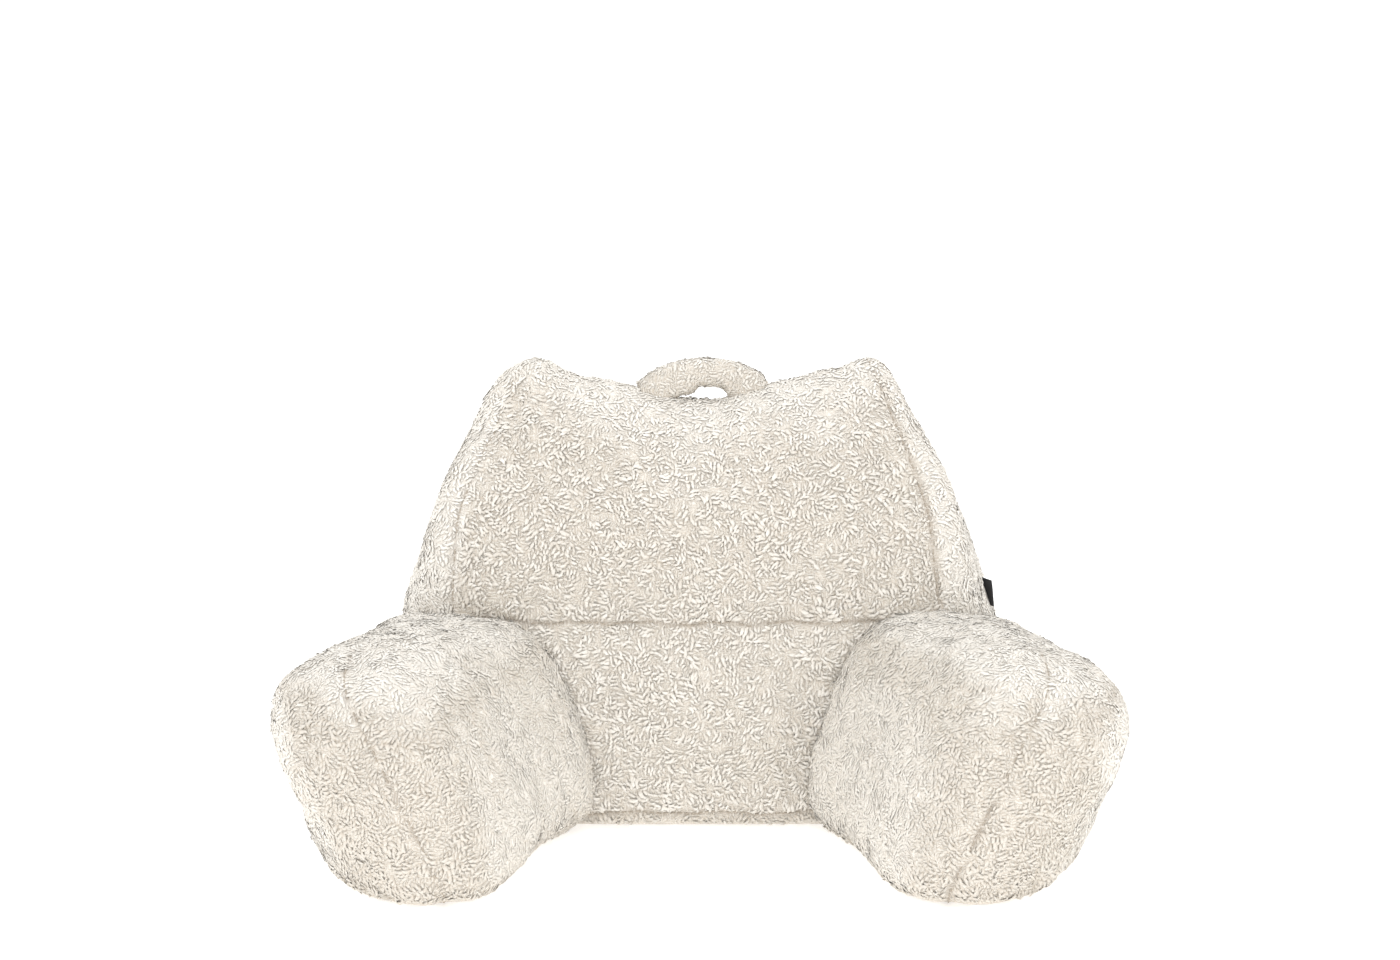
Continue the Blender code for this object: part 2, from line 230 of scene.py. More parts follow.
# Painted shade: the thread is coloured dark, as the shade in the seams.
THREAD_PAINTED_SHADE_DARK = (0.36, 0.31, 0.25, 1)
THREAD_PAINTED_SHADE_PALE = (0.50, 0.44, 0.37, 1)
TAPE_BLACK = (0.010, 0.011, 0.014, 1)
TAPE_PALE_SPOTS = (0.045, 0.046, 0.052, 1)
STRAND_TURNS = 4 * math.pi / STRIP_WIDTH


# ---------- materials


class Value:
    """A shader value that takes part in sums, as a number does."""

    def __init__(self, finish, socket):
        self.finish = finish
        self.socket = socket

    def sum_of(self, operation, *terms):
        inputs = dict(enumerate(terms))
        return self.finish.node("ShaderNodeMath", {"operation": operation}, inputs).out()

    def __add__(self, other):
        return self.sum_of("ADD", self, other)

    def __radd__(self, other):
        return self.sum_of("ADD", other, self)

    def __sub__(self, other):
        return self.sum_of("SUBTRACT", self, other)

    def __rsub__(self, other):
        return self.sum_of("SUBTRACT", other, self)

    def __mul__(self, other):
        return self.sum_of("MULTIPLY", self, other)

    def __rmul__(self, other):
        return self.sum_of("MULTIPLY", other, self)

    def kept(self):
        return self.finish.node("ShaderNodeClamp", {}, {"Value": self}).out()


class Made:
    """A node that has been made, whose outputs are read as values."""

    def __init__(self, finish, node):
        self.finish = finish
        self.node = node

    def out(self, name=0):
        return Value(self.finish, self.node.outputs[name])


class Finish:
    """A named material under construction."""

    def __init__(self, name):
        self.material = bpy.data.materials.new(name)
        self.material.use_nodes = True
        self.tree = self.material.node_tree
        self.surface = next(n for n in self.tree.nodes if n.type == "BSDF_PRINCIPLED")

    def node(self, kind, settings, inputs):
        made = self.tree.nodes.new(kind)
        for key, value in settings.items():
            setattr(made, key, value)
        for key, value in inputs.items():
            self.feed(made.inputs[key], value)
        return Made(self, made)

    def feed(self, socket, value):
        if isinstance(value, Value):
            self.tree.links.new(value.socket, socket)
        else:
            socket.default_value = value

    def blend(self, share, first, second):
        mixed = self.node("ShaderNodeMix", {"data_type": "RGBA"}, {0: share, 6: first, 7: second})
        return mixed.out(2)

    def place(self):
        return self.node("ShaderNodeTexCoord", {}, {}).out("Object")

    def grain(self, scale, detail):
        inputs = {"Vector": self.place(), "Scale": scale, "Detail": detail}
        return self.node("ShaderNodeTexNoise", {}, inputs).out("Fac")

    def attribute(self, name):
        return self.node("ShaderNodeAttribute", {"attribute_name": name}, {}).out("Fac")

    def raise_by(self, height, distance, strength=1.0):
        inputs = {"Height": height, "Distance": distance, "Strength": strength}
        bump = self.node("ShaderNodeBump", {}, inputs)
        self.feed(self.surface.inputs["Normal"], bump.out("Normal"))

    def give(self, name, value):
        self.feed(self.surface.inputs[name], value)

    def be_woolly(self, roughness, shine, sheen):
        """Sets the dull surface of wool, with a soft sheen."""
        self.give("Roughness", roughness)
        self.give("Specular IOR Level", shine)
        self.give("Sheen Weight", sheen)
        self.give("Sheen Roughness", 0.5)
        self.give("Sheen Tint", WOOL_SHEEN)


def pile_finish():
    """Curly wool with painted shade at the root and between its strands; each lock of its own tone.
    """
    wool = Finish("cream_locks")
    reach = wool.attribute("reach")
    tone = wool.attribute("tone")
    root = wool.blend(tone, ROOT_PAINTED_SHADE_DEEP, ROOT_PAINTED_SHADE_PALE)
    curl = wool.blend(tone, DEEP_CREAM, PALE_CREAM)
    grown = (reach * 1.7 - 0.12).kept()
    chart = wool.node("ShaderNodeUVMap", {"uv_map": "OFBake"}, {}).out("UV")
    across = wool.node("ShaderNodeSeparateXYZ", {}, {"Vector": chart}).out("X")
    share = wool.node("ShaderNodeMath", {"operation": "FRACT"}, {0: across * TONES}).out()
    wave = wool.grain(260.0, 1.0) * 2.4
    turns = {0: share * STRAND_TURNS + wave}
    strands = wool.node("ShaderNodeMath", {"operation": "COSINE"}, turns).out() * 0.5 + 0.5
    on_strand = (strands * 0.16 + 0.74 + tone * 0.2).kept()
    # Painted shade: deeper towards the root and between the strands.
    wool.give("Base Color", wool.blend(on_strand, PAINTED_SHADE_BETWEEN_STRANDS, wool.blend(grown, root, curl)))
    wool.be_woolly(0.92, 0.12, 0.35)
    wool.raise_by(strands, 0.6 * MM, 0.2)
    return wool.material


def backing_finish():
    """The short under-pile that the locks stand in: fine curls that lie every way."""
    ground = Finish("cream_ground")
    place = ground.place()
    patches = ground.grain(70.0, 2.0)
    combed = []
    for direction in ("X", "Z"):
        settings = {"wave_type": "BANDS", "bands_direction": direction}
        inputs = {"Vector": place, "Scale": 112.0, "Distortion": 9.0, "Detail": 2.0}
        inputs["Detail Scale"] = 1.1
        combed.append(ground.node("ShaderNodeTexWave", settings, inputs).out("Fac"))
    chosen = ((patches - 0.5) * 9.0 + 0.5).kept()
    strands = combed[0] * chosen + combed[1] * (1.0 - chosen)
    fine = ground.grain(700.0, 2.0)
    # Painted shade: the under-pile is deeper than the locks, in a pattern of fine curls.
    plain = ground.blend((strands * 1.3 + fine * 0.3 - 0.25).kept(), GROUND_PAINTED_SHADE_DEEP, GROUND_PAINTED_SHADE_PALE)
    # Painted light: paler on the sides, the tops and low between the arms.
    plain = ground.blend(ground.attribute("pale"), plain, GROUND_PAINTED_LIGHT)
    in_seam = (ground.attribute("seam") * 0.9).kept()
    ground.give("Base Color", ground.blend(in_seam, plain, SEAM_SHADE))
    ground.be_woolly(0.94, 0.1, 0.3)
    ground.raise_by(strands + fine * 0.25, 1.6 * MM, 0.55)
    return ground.material


def seam_shadow_thread_finish():
    """The sewing thread at the bottom of a seam, coloured dark tan as painted shade in the seam."""
    thread = Finish("seam_shadow_thread")
    twist = thread.grain(1800.0, 1.0)
    thread.give("Base Color", thread.blend(twist, THREAD_PAINTED_SHADE_DARK, THREAD_PAINTED_SHADE_PALE))
    thread.give("Roughness", 0.8)
    thread.raise_by(twist, 0.2 * MM, 0.5)
    return thread.material


def label_finish():
    """Woven black tape, with fine ribs across it, paler along the ribs and in spots."""
    tape = Finish("black_weave")
    wave = {"Vector": tape.place(), "Scale": 520.0, "Distortion": 0.4, "Detail": 1.0}
    ribs = tape.node("ShaderNodeTexWave", {"bands_direction": "Z"}, wave).out("Fac")
    speckle = tape.grain(900.0, 2.0)
    paler_share = (ribs * 0.5 + speckle * 0.5).kept()
    tape.give("Base Color", tape.blend(paler_share, TAPE_BLACK, TAPE_PALE_SPOTS))
    tape.give("Roughness", 0.62)
    tape.raise_by(ribs, 0.15 * MM, 0.7)
    return tape.material


def floor_finish():
    """A plain pale floor that glows a little, so that it stays white all over."""
    plain = Finish("pale_floor")
    plain.give("Base Color", (0.99, 0.99, 0.99, 1))
    plain.give("Roughness", 0.9)
    plain.give("Emission Color", (1, 1, 1, 1))
    plain.give("Emission Strength", FLOOR_GLOW)
    return plain.material


# ---------- objects, and numbers on meshes


def set_out(name, data):
    """A new object in the scene."""
    obj = bpy.data.objects.new(name, data)
    bpy.context.scene.collection.objects.link(obj)
    return obj


def only(obj):
    """Selects one object and nothing else."""
    bpy.ops.object.select_all(action="DESELECT")
    obj.select_set(True)
    bpy.context.view_layer.objects.active = obj


def apply_tool(obj, name, kind, settings):
    """Changes an object for good by one of the modifiers."""
    only(obj)
    tool = obj.modifiers.new(name, kind)
    for key, value in settings.items():
        setattr(tool, key, value)
    bpy.ops.object.modifier_apply(modifier=tool.name)


def select_end(obj, side, limit):
    """Selects the points of an edited mesh that lie beyond a limit along X."""
    bpy.ops.mesh.select_all(action="DESELECT")
    shell = bmesh.from_edit_mesh(obj.data)
    for vert in shell.verts:
        vert.select = side * vert.co.x > limit
    shell.select_flush(True)
    bmesh.update_edit_mesh(obj.data)


def points_of(mesh, kind="co"):
    found = np.empty(len(mesh.vertices) * 3)
    mesh.vertices.foreach_get(kind, found)
    return found.reshape(-1, 3)


def put_points(mesh, points):
    mesh.vertices.foreach_set("co", points.astype(np.float32).ravel())
    mesh.update()


def normals_of(mesh):
    return points_of(mesh, "normal")


def store(mesh, name, values):
    """Keeps one number for each point of a mesh."""
    kept = mesh.attributes.new(name, "FLOAT", "POINT")
    kept.data.foreach_set("value", values.astype(np.float32))


def unit(vectors):
    return vectors / np.maximum(np.linalg.norm(vectors, axis=1), 1e-9)[:, None]


def ease(value, start, end):
    """0 before start, 1 after end, smooth between them."""
    share = np.clip((value - start) / (end - start), 0, 1)
    return share * share * (3 - 2 * share)


def fall_off(gap, width):
    """1 at a place, and less the farther away from it."""
    return np.exp(-((gap / width) ** 2))


def wander(points, wavelength, seed, waves=14):
    """A smooth field that rises and falls about nought, with hills about a wavelength apart."""
    draw = np.random.default_rng(seed)
    heading = unit(draw.normal(size=(waves, 3)))
    pace = 2 * math.pi / wavelength * draw.uniform(0.7, 1.4, waves)
    start = draw.uniform(0, 2 * math.pi, waves)
    return np.sin(points @ (heading * pace[:, None]).T + start).sum(1) * math.sqrt(2 / waves)


def distance_to_line(points, line):
    """How far each point is from a line of points."""
    nearest = np.full(len(points), 1e9)
    line = np.array(line)
    for start, end in zip(line[:-1], line[1:]):
        along = end - start
        share = np.clip((points - start) @ along / (along @ along), 0, 1)
        gap = np.linalg.norm(points - start - share[:, None] * along, axis=1)
        nearest = np.minimum(nearest, gap)
    return nearest


def tree_of(obj):
    mesh = obj.data
    mesh.calc_loop_triangles()
    corners = [tuple(v.co) for v in mesh.vertices]
    faces = [tuple(t.vertices) for t in mesh.loop_triangles]
    return BVHTree.FromPolygons(corners, faces)


def is_inside(point, tree):
    """True inside a closed solid: a line from there crosses its surface an odd number of times."""
    heading = Vector((0.31, 0.17, 0.93)).normalized()
    crossings, start = 0, point
    while True:
        spot = tree.ray_cast(start, heading)[0]
        if spot is None:
            return crossings % 2 == 1
        crossings += 1
        start = spot + heading * 1e-6


def depth_inside(points, tree, reach=30 * MM):
    """How deep each point is inside a closed solid: negative outside it, down to -reach."""
    found = np.full(len(points), -reach)
    for index, place in enumerate(points.tolist()):
        point = Vector(place)
        gap = tree.find_nearest(point)[3]
        inside = is_inside(point, tree)
        if gap < reach or inside:
            found[index] = gap if inside else -gap
    return found


# ---------- seams


def line_on(rows, side=1, shift=0.0):
    """A seam on the right, or its mirror image on the left, shifted sideways."""
    return [(side * x + shift, y, z) for x, y, z in rows]


def line_across(height, waves):
    """A seam that runs across the front panel in shallow waves."""
    line = []
    for step in range(-25, 26):
        level = height
        for high, pace in waves:
            level += high * math.sin(step * pace)
        line.append((step / 100, 0.02, level))
    return line


def gusset_line(edge):
    """The front seam of a gusset."""
    return [(x + BACK_SHIFT, y, z) for x, (z, y) in zip(edge, FRONT_SEAM_DEPTHS)]


def edge_at(points, edge):
    """How far sideways the front seam of a gusset is, at the height of each point."""
    return np.interp(points[:, 2], [height for height, _ in FRONT_SEAM_DEPTHS], edge)


cross_seam = line_across(CROSS_HEIGHT, CROSS_WAVES)
base_seam = line_across(BASE_HEIGHT, BASE_WAVES)
front_right = gusset_line(FRONT_SEAM_RIGHT)
front_left = gusset_line(FRONT_SEAM_LEFT)
rear_right = line_on(REAR_SEAM, 1, BACK_SHIFT)
rear_left = line_on(REAR_SEAM, -1, BACK_SHIFT)
nose_right = line_on(NOSE_SEAM)
nose_left = line_on(NOSE_SEAM, -1, LEFT_ARM_SHIFT)


def cross_gap(points, seam):
    """How far each point on the front panel is above or below a seam that runs across it."""
    line = np.array(seam)
    level = np.interp(points[:, 0], line[:, 0], line[:, 2])
    apart = np.abs(points[:, 2] - level)
    on_front = (points[:, 1] < FRONT_DEPTH) & (np.abs(points[:, 0]) < FRONT_HALF_WIDTH)
    return np.where(on_front, apart, NO_SEAM)


def seam_gap(points, part):
    """How far each point is from the nearest seam of its part."""
    if part == "back":
        gaps = [cross_gap(points, seam) for seam in (cross_seam, base_seam)]
        side_seams = (front_right, front_left, rear_right, rear_left)
        gaps += [distance_to_line(points, line) for line in side_seams]
        return np.minimum.reduce(gaps)
    if part == "arm_left":
        return distance_to_line(points, nose_left)
    if part == "arm_right":
        return distance_to_line(points, nose_right)
    return np.full(len(points), NO_SEAM)


# ---------- stuffed skins


def copy_of_node(node, name):
    """A copy of a solid's mesh, with its points merged."""
    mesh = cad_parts[node].data.copy()
    mesh.name = name
    mesh.materials.clear()
    shell = bmesh.new()
    shell.from_mesh(mesh)
    bmesh.ops.remove_doubles(shell, verts=shell.verts, dist=1e-5)
    bmesh.ops.recalc_face_normals(shell, faces=shell.faces)
    shell.to_mesh(mesh)
    shell.free()
    return set_out(name, mesh)


def draw_in(obj, depth, neighbour=None):
    """Moves the surface in by the pile's depth, but where it meets a neighbour or the floor."""
    points = points_of(obj.data)
    normals = normals_of(obj.data)
    step = np.full(len(points), -depth)
    if neighbour is not None:
        touching = np.abs(depth_inside(points, neighbour)) < TOUCHING
        step = np.where(touching, depth, step)
    move = normals * step[:, None]
    on_floor = points[:, 2] < FOOT_HEIGHT
    move[on_floor, 2] = 0
    moved = points + move
    moved[:, 2] = np.maximum(moved[:, 2], FLOOR_CLEARANCE)
    put_points(obj.data, moved)


def swell(obj, held):
    """Fills the skin from inside, held at its seams, and caps how far it may move."""
    before = points_of(obj.data)
    group = obj.vertex_groups.new(name="held")
    for index, weight in enumerate(held):
        group.add([index], float(weight), "REPLACE")
    tool = obj.modifiers.new("filling", "CLOTH")
    cloth = tool.settings
    cloth.quality = 5
    cloth.use_pressure = True
    cloth.uniform_pressure_force = SWELL_PRESSURE
    cloth.effector_weights.gravity = 0
    cloth.vertex_group_mass = group.name
    cloth.tension_stiffness = 12
    cloth.bending_stiffness = 0.4
    tool.point_cache.frame_start = 1
    tool.point_cache.frame_end = SWELL_FRAMES
    scene = bpy.context.scene
    for step in range(1, SWELL_FRAMES + 1):
        scene.frame_set(step)
    shown = obj.evaluated_get(bpy.context.evaluated_depsgraph_get())
    after = points_of(shown.data)
    obj.modifiers.remove(tool)
    obj.vertex_groups.clear()
    scene.frame_set(1)
    move = after - before
    far = np.linalg.norm(move, axis=1)
    move *= np.minimum(1, SWELL_CAP / np.maximum(far, 1e-9))[:, None]
    after = before + move
    after[:, 2] = np.maximum(after[:, 2], FLOOR_CLEARANCE)
    put_points(obj.data, after)


def refine(obj):
    """Rounds a mesh off with faces half as wide."""
    apply_tool(obj, "round_off", "SUBSURF", {"levels": 1, "render_levels": 1})


def sew(obj, part):
    """Sinks and shades the seams, and gives the skin the shallow lumps of its filling."""
    points = points_of(obj.data)
    normals = normals_of(obj.data)
    gap = seam_gap(points, part)
    parted = parting(points, part)
    front_sink = BACK_SINK if part == "back" else ARM_SINK
    depth = np.where(points[:, 1] > REAR_SINK_FROM, REAR_SINK, front_sink)
    pull = np.clip(0.7 + 0.3 * wander(points, 35 * MM, 5), 0.3, 1.3)
    sink = depth * fall_off(gap, SINK_WIDTH) * pull * (0.4 + 0.6 * parted)
    if part == "back":
        sink -= VALLEY_FILL * fall_off(cross_gap(points, cross_seam), VALLEY_WIDTH)
    lumps = sum(height * wander(points, apart, seed) for height, apart, seed in LUMPS)
    free = ease(points[:, 2], 5 * MM, 25 * MM)
    off_floor = ease(points[:, 2], 2 * MM, 8 * MM)
    moved = points + normals * (lumps * free - sink * off_floor)[:, None]
    if part == "back":
        beside = fall_off(points[:, 2] - HIP_HEIGHT, HIP_SPREAD)
        beside *= ease(np.abs(points[:, 0]), 0.20, 0.27)
        moved[:, 0] += HIP_BULGE * np.sign(points[:, 0]) * beside
    moved[:, 2] = np.maximum(moved[:, 2], FLOOR_CLEARANCE)
    put_points(obj.data, moved)
    # Painted light: the under-pile is paler on the sides and the tops, and low between the arms.
    painted_light_share = 0.75 * sides_and_tops(points, normals, part) + 0.15 * hollow(points, part)
    store(obj.data, "seam", fall_off(gap, SHADE_WIDTH) * parted * SHADE_DEPTH)
    store(obj.data, "pale", np.clip(painted_light_share, 0, 1))


def widen_feet(obj):
    """Brings the loop's underside down, most at its feet, so that only a short low gap is left."""
    points = points_of(obj.data)
    under = ease(-normals_of(obj.data)[:, 2], 0.0, 0.6)
    off_middle = np.abs(points[:, 0] - GRIP_MIDDLE)
    beside = ease(off_middle, GRIP_HALF_WIDTH - 3 * MM, GRIP_HALF_WIDTH + 6 * MM)
    points[:, 2] -= (GRIP_DROP + FOOT_DROP * beside) * under
    put_points(obj.data, points)


def stuffed(node, part, size, depth, neighbour=None, others=()):
    """The stuffed skin of one sewn piece, held at its seams, at the floor and beside the others."""
    obj = copy_of_node(node, node + "_skin")
    draw_in(obj, depth, neighbour)
    even = {"mode": "VOXEL", "voxel_size": size, "use_smooth_shade": True}
    apply_tool(obj, "even_mesh", "REMESH", even)
    if part == "loop":
        refine(obj)
        widen_feet(obj)
    else:
        points = points_of(obj.data)
        held = 1 - ease(seam_gap(points, part), SEAM_GRIP, SEAM_RELEASE)
        held = np.maximum(held, 1 - ease(points[:, 2], 6 * MM, 30 * MM))
        for tree in others:
            held = np.maximum(held, ease(depth_inside(points, tree), -22 * MM, -8 * MM))
        swell(obj, held)
        refine(obj)
        sew(obj, part)
    for polygon in obj.data.polygons:
        polygon.use_smooth = True
    return obj


# ---------- locks of pile


def lock_pattern(name, turn, arch, radius, side):
    """One curled lock, lying along X and curling to one side, closed at its root and tip."""
    bpy.ops.object.select_all(action="DESELECT")
    spots = []
    for share in LOCK_SHARES:
        swing = turn * share
        x = LOCK_LENGTH * math.sin(swing) / turn
        y = side * LOCK_LENGTH * (1 - math.cos(swing)) / turn
        z = arch * math.sin(0.9 * math.pi * share)
        z = z - ROOT_DIP * (1 - share) ** 2 - TIP_DIP * share**3
        spots.append(Vector((x, y, z)))
    bpy.ops.mesh.primitive_circle_add(
        vertices=3,
        radius=radius * LOCK_WIDTHS[0],
        fill_type="NGON",
        rotation=(0, math.pi / 2, 0),
        location=spots[0],
    )
    obj = bpy.context.object
    obj.name = name
    bpy.ops.object.transform_apply(location=True, rotation=True, scale=True)
    bpy.ops.object.mode_set(mode="EDIT")
    bpy.ops.mesh.select_all(action="SELECT")
    bpy.ops.transform.resize(value=(1, 1, LOCK_FLATNESS), center_override=spots[0])
    for step in range(1, len(spots)):
        move = spots[step] - spots[step - 1]
        bend = turn * (LOCK_SHARES[step] - LOCK_SHARES[step - 1])
        bpy.ops.mesh.extrude_region_move(TRANSFORM_OT_translate={"value": move})
        bpy.ops.transform.rotate(value=-side * bend, orient_axis="Z", center_override=spots[step])
        if step < len(LOCK_WIDTHS):
            wider = LOCK_WIDTHS[step] / LOCK_WIDTHS[step - 1]
            bpy.ops.transform.resize(value=(wider, wider, wider), center_override=spots[step])
    bpy.ops.mesh.merge(type="CENTER")
    bpy.ops.mesh.select_all(action="SELECT")
    bpy.ops.mesh.normals_make_consistent(inside=False)
    bpy.ops.object.mode_set(mode="OBJECT")
    return obj, spots


class Pattern:
    """What a lock's mesh gives to its copies."""

    def __init__(self, obj, spots):
        mesh = obj.data
        points = points_of(mesh)
        middle = points.mean(0)
        self.points = points - (middle[0], middle[1], 0)
        centres = np.array([tuple(s) for s in spots])
        nearest = np.linalg.norm(points[:, None] - centres[None], axis=2).argmin(1)
        self.reach = nearest / (len(spots) - 1)
        self.loops, self.sizes, self.map = [], [], []
        for polygon in mesh.polygons:
            corners = list(polygon.vertices)
            start = self.first_low(corners)
            corners = corners[start:] + corners[:start]
            across = [0, 1, 1, 0] if len(corners) == 4 else [0, 1, 0.5]
            heights = [self.reach[c] for c in corners]
            if len(corners) == 3 and max(heights) == min(heights):
                heights = [heights[0], heights[0], heights[0] + 0.1]
            self.loops += corners
            self.sizes.append(len(corners))
            self.map += list(zip(across, heights))
        self.loops = np.array(self.loops)
        self.sizes = np.array(self.sizes)
        self.map = np.array(self.map)
        bpy.data.objects.remove(obj)

    def first_low(self, corners):
        """The corner that starts the low edge of a face."""
        heights = [self.reach[c] for c in corners]
        low = min(heights)
        for index in range(len(corners)):
            if heights[index] == low and heights[(index + 1) % len(corners)] == low:
                return index
        return 0


def lock_patterns():
    """Locks of three curves, each curling to either side."""
    made = []
    for turn, arch, wide in LOCK_CURVES:
        for side in (1, -1):
            name = f"lock_{len(made)}"
            made.append(Pattern(*lock_pattern(name, turn, arch * MM, LOCK_RADIUS * wide, side)))
    return made


def scatter(obj, part, spacing, seed):
    """Evenly spread points on a skin, with their normals."""
    mesh = obj.data
    mesh.calc_loop_triangles()
    corners = np.empty(len(mesh.loop_triangles) * 3, np.int32)
    mesh.loop_triangles.foreach_get("vertices", corners)
    corners = corners.reshape(-1, 3)
    points, normals = points_of(mesh), normals_of(mesh)
    a, b, c = (points[corners[:, k]] for k in range(3))
    area = np.linalg.norm(np.cross(b - a, c - a), axis=1) / 2
    draw = np.random.default_rng(seed)
    low = points[corners, 2].min(1)
    floorward = (normals[corners].mean(1)[:, 2] < FACES_DOWN) & (low < BARE_FLOOR)
    area = np.where(floorward, 0, area)
    count = int(area.sum() / spacing**2 * TRIES)
    chosen = draw.choice(len(area), count, p=area / area.sum())
    u, v = draw.random(count), draw.random(count)
    fold = u + v > 1
    u, v = np.where(fold, 1 - u, u), np.where(fold, 1 - v, v)
    shares = np.stack([1 - u - v, u, v], 1)
    spots = (points[corners[chosen]] * shares[:, :, None]).sum(1)
    facing = unit((normals[corners[chosen]] * shares[:, :, None]).sum(1))
    regions = [(np.full(count, True), spacing)]
    if part == "back":
        rear = spots[:, 1] > RIDGE_DEPTH
        regions = [(~rear, spacing), (rear, REAR_SPACING)]
    kept = []
    for region, apart in regions:
        rows = np.where(region)[0]
        kept.append(rows[thin(spots[rows], apart)])
    kept = np.concatenate(kept)
    return spots[kept], facing[kept]


def thin(spots, spacing):
    """The points that stand at least one spacing from every point kept before them."""
    cells = np.floor(spots / spacing).astype(int).tolist()
    taken, kept = {}, []
    around = [(i, j, k) for i in (-1, 0, 1) for j in (-1, 0, 1) for k in (-1, 0, 1)]
    limit = spacing * spacing
    for index, ((cx, cy, cz), (x, y, z)) in enumerate(zip(cells, spots.tolist())):
        cells_near = (taken.get((cx + i, cy + j, cz + k), ()) for i, j, k in around)
        near = (spot for cell in cells_near for spot in cell)
        if all((x - a) ** 2 + (y - b) ** 2 + (z - c) ** 2 >= limit for a, b, c in near):
            taken.setdefault((cx, cy, cz), []).append((x, y, z))
            kept.append(index)
    return np.array(kept)


def along_skin(ways, facing):
    """What is left of each way when it is laid along the skin."""
    return ways - facing * (ways * facing).sum(1)[:, None]


def comb(spots, facing, tuft_turn, inward, seed):
    """The way that each lock lies on the surface: down, but turned this way and that in swirls."""
    down = np.array([0.0, 0.0, -1.0]) + facing * 1e-3
    flat_top = np.array([0.0, -1.0, 0.0])
    steep = np.abs(facing[:, 2:3])
    lie = unit(along_skin(down * (1 - steep) + flat_top * steep, facing))
    side = np.cross(facing, lie)
    draw = np.random.default_rng(seed)
    angle = BROAD_SWIRL[0] * wander(spots, BROAD_SWIRL[1], seed + 1)
    angle += FINE_SWIRL[0] * wander(spots, FINE_SWIRL[1], seed + 2)
    angle += tuft_turn + draw.normal(0, 0.13, len(spots))
    flow = lie * np.cos(angle)[:, None] + side * np.sin(angle)[:, None]
    return unit(flow + TUFT_PULL * along_skin(inward, facing))


def grow(name, planted, patterns, seed, finish):
    """Sets a lock on every spot and joins them into one mesh."""
    spots, facing, lie, size, slim, lift, tone, kind = (planted[key] for key in PLANTED)
    draw = np.random.default_rng(seed)
    side = np.cross(facing, lie)
    share, raised_by = RAISED_LOCKS
    tilt = draw.normal(*LOCK_TILT, len(spots)) + raised_by * (draw.random(len(spots)) < share)
    tilted = lie * np.cos(tilt)[:, None] + facing * np.sin(tilt)[:, None]
    up = np.cross(tilted, side)
    column = np.floor(np.clip(tone, 0, 0.999) * TONES)
    made, base = [], 0
    for index, pattern in enumerate(patterns):
        rows = np.where(kind == index)[0]
        if not len(rows):
            continue
        local = pattern.points[None] * size[rows][:, None, None]
        placed = spots[rows][:, None] + local[..., 0:1] * tilted[rows][:, None]
        placed = placed + local[..., 1:2] * side[rows][:, None] * slim[rows][:, None, None]
        placed = placed + local[..., 2:3] * up[rows][:, None] * lift[rows][:, None, None]
        each = len(pattern.points)
        starts = base + np.arange(len(rows)) * each
        strip = column[rows][:, None] + STRIP_MARGIN + STRIP_WIDTH * pattern.map[None, :, 0]
        height = np.broadcast_to(0.02 + 0.96 * pattern.map[None, :, 1], strip.shape)
        made.append((
            placed.reshape(-1, 3),
            (starts[:, None] + pattern.loops[None]).ravel(),
            np.tile(pattern.sizes, len(rows)),
            np.stack([strip / TONES, height], 2).reshape(-1, 2),
            np.tile(pattern.reach, len(rows)),
            np.repeat((column[rows] + 0.5) / TONES, each),
            np.repeat(facing[rows], each, axis=0),
        ))
        base += each * len(rows)
    points, loops, sizes, chart, reach, tones, below = (np.concatenate(rows) for rows in zip(*made))
    points[:, 2] = np.maximum(points[:, 2], FLOOR_CLEARANCE)
    mesh = bpy.data.meshes.new(name)
    mesh.vertices.add(len(points))
    mesh.vertices.foreach_set("co", points.astype(np.float32).ravel())
    mesh.loops.add(len(loops))
    mesh.loops.foreach_set("vertex_index", loops.astype(np.int32))
    mesh.polygons.add(len(sizes))
    first = np.concatenate([[0], np.cumsum(sizes)[:-1]])
    mesh.polygons.foreach_set("loop_start", first.astype(np.int32))
    mesh.polygons.foreach_set("use_smooth", np.ones(len(sizes), bool))
    mesh.update(calc_edges=True)
    shading = unit(normals_of(mesh) * (1 - EVEN_LIGHT) + below * EVEN_LIGHT)
    mesh.normals_split_custom_set_from_vertices(shading.tolist())
    store(mesh, "reach", reach)
    store(mesh, "tone", tones)
    mesh.uv_layers.new(name="OFBake").data.foreach_set("uv", chart.astype(np.float32).ravel())
    mesh.materials.append(finish)
    return mesh


def sow(name, planted, patterns, seed, finish):
    """Grows one piece of the pile."""
    piece = set_out(name, grow(name, planted, patterns, seed, finish))
    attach(piece, "root")


def tufts_of(spots, seed):
    """The tuft of each lock: its turn and tint, the lock's height in it, its kind and middle."""
    centres = spots[thin(spots, TUFT_SPACING)]
    tree = KDTree(len(centres))
    for index, centre in enumerate(centres.tolist()):
        tree.insert(centre, index)
    tree.balance()
    found = [tree.find(spot)[1:] for spot in spots.tolist()]
    own = np.array([index for index, _ in found])
    away = np.array([gap for _, gap in found])
    draw = np.random.default_rng(seed)
    turn = draw.normal(0, 0.75, len(centres))[own]
    tint = draw.normal(0, 1.0, len(centres))[own]
    crown = draw.normal(1.0, 0.13, len(centres))[own] - 2.8 * (away / TUFT_SPACING) ** 2
    curl = draw.integers(0, 2 * len(LOCK_CURVES), len(centres))[own]
    return turn, tint, crown, curl, (centres[own] - spots) / TUFT_SPACING


def parting(spots, part):
    """How far the pile is parted at the seams: always on the back, here and there on the arms."""
    if part == "back":
        return np.ones(len(spots))
    return np.clip(0.6 + 0.75 * wander(spots, 42 * MM, 31), 0, 1)


